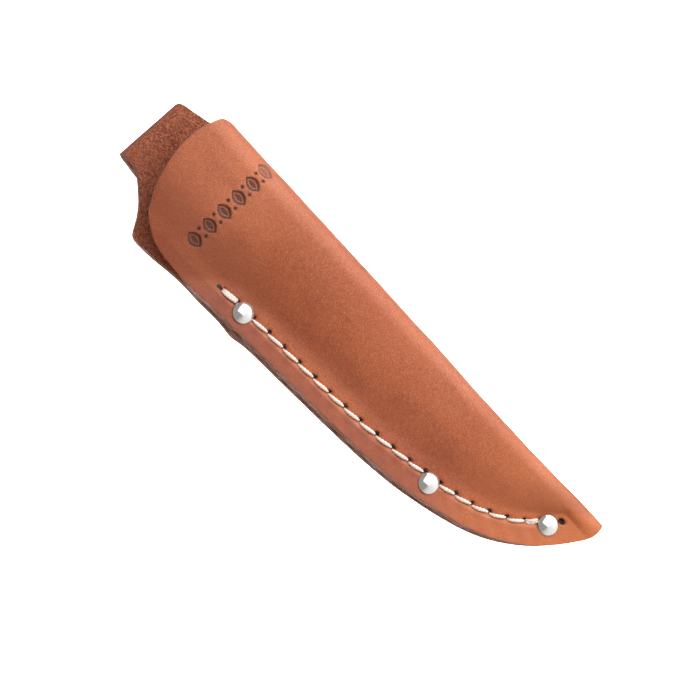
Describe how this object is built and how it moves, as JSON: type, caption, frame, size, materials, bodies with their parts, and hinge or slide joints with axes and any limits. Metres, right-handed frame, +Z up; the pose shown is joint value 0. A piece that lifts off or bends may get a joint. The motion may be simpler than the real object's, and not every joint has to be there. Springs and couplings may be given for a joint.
{
  "type": "knife sheath",
  "caption": "Leather belt sheath for a small fixed-blade whittling knife: folded pouch with a stitched and riveted seam, and a folded belt loop.",
  "frame": {"origin": "middle of the belt slot, the space between the back panel and the strap that a waist belt passes through", "axes": "+Z up to the mouth and the fold of the belt loop, -Y the way the front panel faces, +X towards the folded spine, with the sewn seam at -X"},
  "size_m": [0.0437, 0.0268, 0.179],
  "materials": {
    "oiled_leather": "oiled, semi-gloss grain side",
    "welt_leather": "raw cut edge",
    "waxed_thread": "waxed, three-ply twist",
    "nickel_plate": "bright nickel plate"
  },
  "bodies": {
    "root": {"sheath_body": "oiled_leather", "welt": "welt_leather", "seam_front_thread": "waxed_thread", "seam_back_thread": "waxed_thread", "loop_inner_thread": "waxed_thread", "loop_outer_thread": "waxed_thread", "mouth_rivet_cap": "nickel_plate", "mouth_rivet_post": "nickel_plate", "middle_rivet_cap": "nickel_plate", "middle_rivet_post": "nickel_plate", "tip_rivet_cap": "nickel_plate", "tip_rivet_post": "nickel_plate", "loop_rivet_cap": "nickel_plate", "loop_rivet_post": "nickel_plate"}
  },
  "joints": []
}
